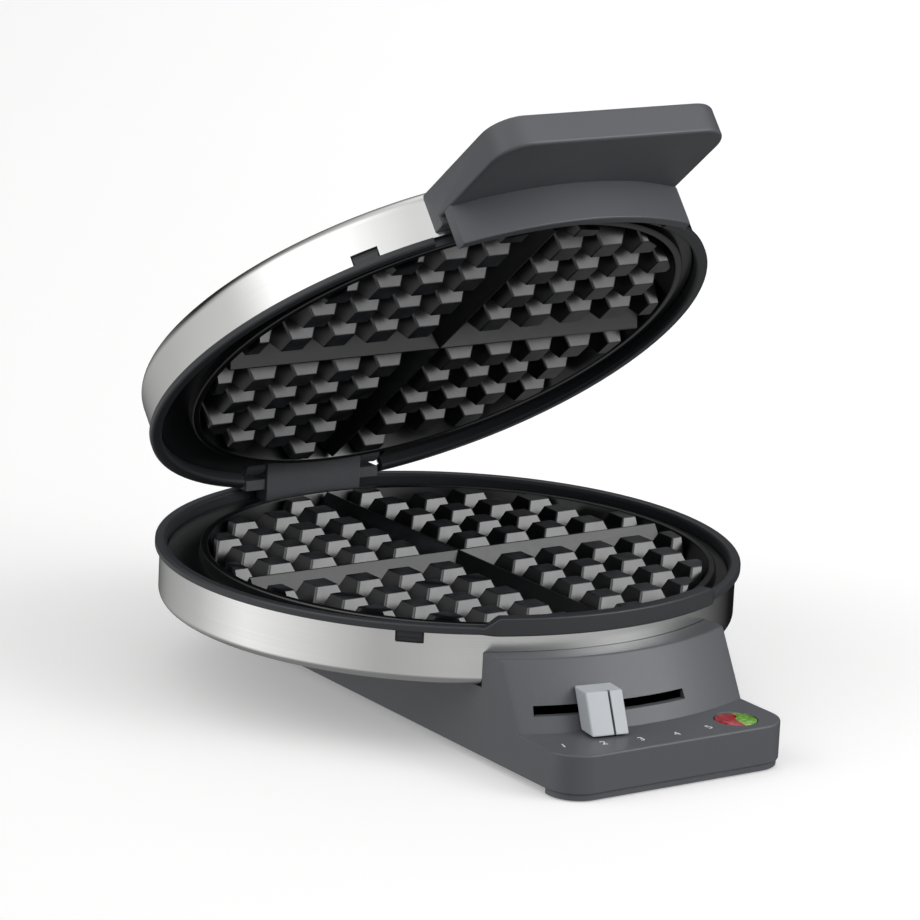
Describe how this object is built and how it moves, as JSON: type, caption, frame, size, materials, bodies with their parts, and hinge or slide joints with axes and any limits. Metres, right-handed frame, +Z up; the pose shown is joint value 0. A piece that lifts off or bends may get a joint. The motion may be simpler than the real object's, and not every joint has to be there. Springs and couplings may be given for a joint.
{
  "type": "waffle maker",
  "caption": "Round worktop waffle maker with a hinged steel lid, flat front grip, two studded non-stick plates and a pedestal with a browning slider.",
  "frame": {"origin": "on the floor under the centre of the bounding box, with the lid open as stored", "axes": "+Z up, the handle and the control ledge face -Y, +X to the right seen from the front"},
  "size_m": [0.196, 0.2344, 0.2059],
  "materials": {
    "charcoal_plastic": "fine moulded grain, satin",
    "black_plastic": "fine moulded grain",
    "brushed_steel": "brushed round the edge, soft shine",
    "nonstick_coating": "black non-stick coating on a casting, satin",
    "plated_steel": "zinc plated",
    "silver_plastic": "light silver-grey, satin",
    "rubber": "matt",
    "white_moulding": "matt",
    "red_lens": "clear gloss",
    "green_lens": "clear gloss",
    "white_print": "pad-printed digits"
  },
  "bodies": {
    "base": {"pedestal_housing": "charcoal_plastic", "bottom_cover": "black_plastic", "foot_left_front": "rubber", "foot_right_front": "rubber", "foot_left_rear": "rubber", "foot_right_rear": "rubber", "lower_steel_shell": "brushed_steel", "lower_rim": "charcoal_plastic", "lower_cooking_plate": "nonstick_coating", "lower_heating_element": "plated_steel", "thermostat_body": "white_moulding", "thermal_fuse": "plated_steel", "terminal_block": "white_moulding", "indicator_lens_red": "red_lens", "indicator_lens_green": "green_lens", "lamp_holder": "black_plastic", "neon_lamp_red": "red_lens", "neon_lamp_green": "green_lens", "cord_inlet_bush": "rubber", "hinge_post": "charcoal_plastic", "hinge_pin": "plated_steel", "cover_screw_1": "plated_steel", "pan_screw_1": "plated_steel", "cover_screw_2": "plated_steel", "pan_screw_2": "plated_steel", "cover_screw_3": "plated_steel", "pan_screw_3": "plated_steel", "cover_screw_4": "plated_steel", "pan_screw_4": "plated_steel", "hinge_post_screw_1": "plated_steel", "hinge_post_screw_2": "plated_steel"},
    "lid": {"lid_steel_shell": "brushed_steel", "upper_rim": "charcoal_plastic", "upper_cooking_plate": "nonstick_coating", "upper_heating_element": "plated_steel", "upper_heat_shield": "plated_steel", "upper_thermal_fuse": "plated_steel", "handle": "charcoal_plastic", "handle_screw_1": "plated_steel", "handle_screw_2": "plated_steel", "lid_hinge_bracket": "charcoal_plastic", "hinge_bracket_screw_1": "plated_steel", "hinge_bracket_screw_2": "plated_steel"},
    "browning_control": {"browning_knob": "silver_plastic", "browning_lever": "plated_steel", "thermostat_spindle": "plated_steel"}
  },
  "joints": [
    {"name": "lid_hinge", "type": "hinge", "parent": "base", "child": "lid", "pos_m": [0, 0.1078, 0.0552], "axis": [-1, 0, 0], "range_deg": [-39.6, 55.4]},
    {"name": "browning_slider", "type": "hinge", "parent": "base", "child": "browning_control", "pos_m": [0, 0.0174, 0.0214], "axis": [0, 0, 1], "range_deg": [-8.1, 15.7]}
  ]
}
